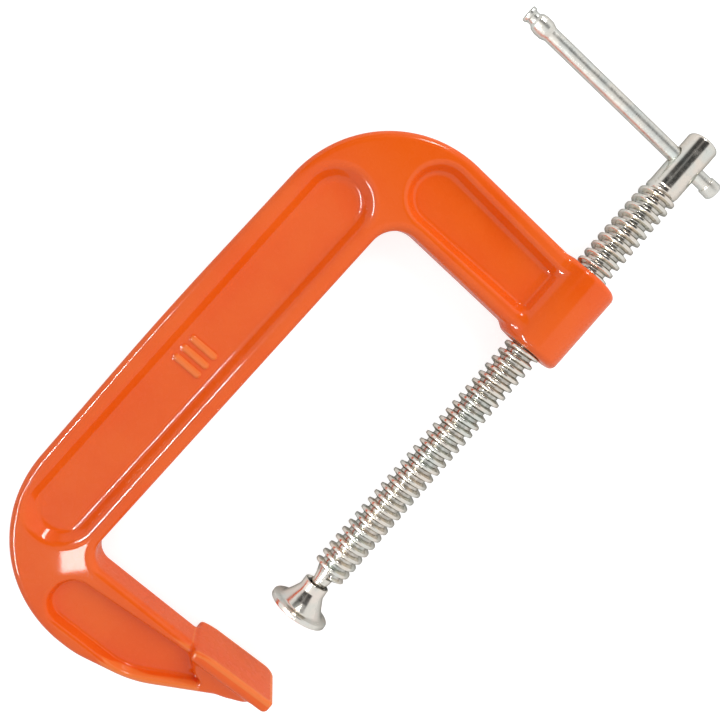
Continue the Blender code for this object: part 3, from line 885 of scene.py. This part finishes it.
def floor_material():
    """A pale floor that glows less in reflections than to the camera, so that the steel's edges
    don't vanish against it."""
    n = Nodes("pale_floor")
    colour = n.blend(n.noise(3.0, 2.0), FLOOR, FLOOR_LIGHT)
    roughness = n.spread(n.noise(8.0, 2.0), 0.3, 0.7, 0.75, 0.85)
    normal = n.bump(n.noise(400.0, 2.0), 0.05 * MM, 0.05)
    seen = n.add("ShaderNodeLightPath").outputs["Is Camera Ray"]
    n.link(n.spread(seen, 0.0, 1.0, *FLOOR_GLOW), n.shader.inputs["Emission Strength"])
    n.shader.inputs["Emission Color"].default_value = (1.0, 1.0, 1.0, 1.0)
    return n.finish(colour, roughness, normal)


# Studio -------------------------------------------------------------------------------------------

CAMERA_PLACE = Vector((-0.10216, 0.14205, 0.33271))
CAMERA_RIGHT = Vector((0.75331, 0.65171, 0.08830))
CAMERA_FORWARD = Vector((0.16854, -0.06152, -0.98377))
LENS = 45.0
SENSOR = 36.0
CLIP_START = 0.01

# How bright the tent is, going round from -X over the top to +X, and turning towards +Y
TENT_STOPS = [(0.0, 0.95), (0.12, 0.9), (0.17, 0.06), (0.30, 0.03), (0.35, 0.28), (0.40, 0.03),
              (0.565, 0.05), (0.61, 0.98), (1.0, 0.98)]
BEHIND_STOPS = [(0.0, 0.95), (0.04, 0.95), (0.15, 0.0), (0.60, 0.0), (0.74, 0.35), (1.0, 0.5)]
RIM_HEIGHTS = (0.12, 0.45)
WORLD_STRENGTH = 0.87

FLOOR_HALF = 6.0
FLOOR_MIDDLE_Y = 0.1
FLOOR_DROP = 0.2 * MM

# (name, place, target, size, radiance, the way its first side runs, whether it is a fill)
LIGHTS = [
    ("side", (-0.38, -0.24, 0.46), (-0.08, 0.02, 0), (0.60, 0.040), 75.0, (0.5, -0.85, 0), False),
    ("near", (-0.043, -0.219, 0.50), (-0.08, -0.005, 0), (0.028, 0.024), 21.0, (1, 1, 0), False),
    ("top", (-0.25, 1.0, 0.55), (-0.08, 0.0, 0), (0.30, 0.14), 22.0, (0, 1, 0), False),
    ("fill", (-0.05, 1.2, 1.0), (-0.05, 0.1, 0), (1.2, 1.2), 2.9, (0, 1, 0), True),
]


def build_camera():
    data = bpy.data.cameras.new("camera")
    data.lens = LENS
    data.sensor_width = SENSOR
    data.clip_start = CLIP_START
    camera = add_object("camera", data)
    back = -CAMERA_FORWARD.normalized()
    up = back.cross(CAMERA_RIGHT).normalized()
    right = up.cross(back)
    turn = Matrix((right, up, back)).transposed().to_4x4()
    camera.matrix_world = Matrix.Translation(CAMERA_PLACE) @ turn
    bpy.context.scene.camera = camera


def build_light(name, place, target, size, radiance, along, fill):
    """A soft box that faces its target, its first side as near as it can be to one direction.  A
    fill lights what is matt and the others draw the gloss."""
    data = bpy.data.lights.new(name, "AREA")
    data.shape = "RECTANGLE"
    data.size, data.size_y = size
    data.energy = radiance * math.pi * size[0] * size[1]
    light = add_object(name, data)
    back = (Vector(place) - Vector(target)).normalized()
    side = (Vector(along) - back * back.dot(Vector(along))).normalized()
    turn = Matrix((side, back.cross(side), back)).transposed().to_4x4()
    light.matrix_world = Matrix.Translation(place) @ turn
    light.visible_camera = False
    light.visible_diffuse = fill
    light.visible_glossy = not fill


def range_node(tree, value, settings):
    node = tree.nodes.new("ShaderNodeMapRange")
    for key, number in settings.items():
        node.inputs[key].default_value = number
    tree.links.new(value, node.inputs["Value"])
    return node


def level_ramp(tree, value, stops):
    """Grey levels by position along a value."""
    ramp = tree.nodes.new("ShaderNodeValToRGB")
    tree.links.new(value, ramp.inputs["Fac"])
    elements = ramp.color_ramp.elements
    while len(elements) < len(stops):
        elements.new(0.5)
    for element, (position, level) in zip(elements, stops):
        element.position = position
        element.color = (level, level, level, 1.0)
    return ramp.outputs["Color"]


def joined_value(tree, operation, a, b):
    node = tree.nodes.new("ShaderNodeMath")
    node.operation = operation
    tree.links.new(a, node.inputs[0])
    tree.links.new(b, node.inputs[1])
    return node.outputs[0]


def build_world():
    """A pale tent, open over the spine's side, so that bright metal has something to reflect."""
    world = bpy.data.worlds.new("studio")
    bpy.context.scene.world = world
    world.use_nodes = True
    tree = world.node_tree
    where = tree.nodes.new("ShaderNodeTexCoord")
    split = tree.nodes.new("ShaderNodeSeparateXYZ")
    tree.links.new(where.outputs["Generated"], split.inputs[0])
    angle = joined_value(tree, "ARCTAN2", split.outputs["X"], split.outputs["Z"])
    share = range_node(tree, angle, {"From Min": -math.pi / 2, "From Max": math.pi / 2})
    around = level_ramp(tree, share.outputs["Result"], TENT_STOPS)
    behind = level_ramp(tree, split.outputs["Y"], BEHIND_STOPS)
    low, high = RIM_HEIGHTS
    rim = range_node(tree, split.outputs["Z"],
                     {"From Min": low, "From Max": high, "To Min": 1.0, "To Max": 0.0})
    rim.interpolation_type = "SMOOTHSTEP"
    lighter = joined_value(tree, "MAXIMUM", around, rim.outputs["Result"])
    tent = joined_value(tree, "MAXIMUM", lighter, behind)
    background = tree.nodes["Background"]
    tree.links.new(tent, background.inputs["Color"])
    background.inputs["Strength"].default_value = WORLD_STRENGTH


def build_floor():
    bm = bmesh.new()
    signs = ((-1, -1), (1, -1), (1, 1), (-1, 1))
    bm.faces.new([bm.verts.new((x * FLOOR_HALF, y * FLOOR_HALF, 0.0)) for x, y in signs])
    floor = finished("floor", bm)
    floor.location = (0.0, FLOOR_MIDDLE_Y, CAD_BOX[0].z - FLOOR_DROP)
    floor.data.materials.append(floor_material())


def put(piece, material, body, node):
    piece.data.materials.clear()
    piece.data.materials.append(material)
    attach(piece, body)
    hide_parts(node)


def main():
    put(build_casting(), enamel_material(), "frame", "frame")
    put(build_screw(), plate_material("plate_screw", AROUND_Y, SCREW_TINT, THREAD_ROOT_SHADE),
        "screw", "screw")
    put(build_bar(), plate_material("plate_bar", AROUND_X, BAR_TINT, brushed=BAR_BRUSHING),
        "bar", "tommy_bar")
    put(build_pad(), plate_material("plate_pad", AROUND_Y, PAD_TINT, PAD_SOCKET_SHADE),
        "pad", "swivel_pad")
    put(build_ring(), wire_material(), "carrier", "retaining_ring")
    build_floor()
    build_camera()
    build_world()
    for light in LIGHTS:
        build_light(*light)
    bpy.context.scene.view_settings.view_transform = "Standard"


main()
